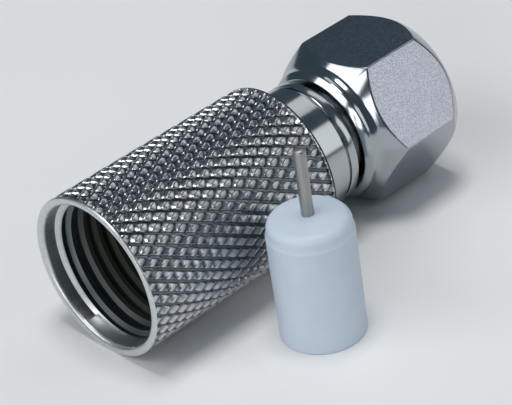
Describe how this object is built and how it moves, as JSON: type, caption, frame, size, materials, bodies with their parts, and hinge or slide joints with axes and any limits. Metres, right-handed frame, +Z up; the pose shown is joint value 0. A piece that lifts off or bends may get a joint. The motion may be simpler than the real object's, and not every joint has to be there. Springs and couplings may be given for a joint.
{
  "type": "twist-on F plug with loose insert",
  "caption": "Knurled twist-on plug for thick coaxial cable with a spinning hexagonal coupling nut, and its loose domed insert with a centre pin.",
  "frame": {"origin": "on the surface that the plug and its insert stand on, midway along and across the whole", "axes": "+X along the plug's axis, from the cable end to the mating end; +Z up, along the standing insert's axis"},
  "size_m": [0.035, 0.0228, 0.0166],
  "materials": {
    "sleeve": "knurled nickel plate",
    "ferrule": "bright nickel plate",
    "nut": "satin nickel plate",
    "insulator": "matte",
    "centre_pin": "dull tin plate"
  },
  "bodies": {
    "plug": {"sleeve": "sleeve", "ferrule": "ferrule", "insulator": "insulator", "centre_pin": "centre_pin"},
    "coupling_nut": {"nut": "nut"}
  },
  "joints": [
    {"name": "nut_spin", "type": "hinge", "parent": "plug", "child": "coupling_nut", "pos_m": [0, 0.00388, 0.00695], "axis": [1, 0, 0], "continuous": true}
  ]
}
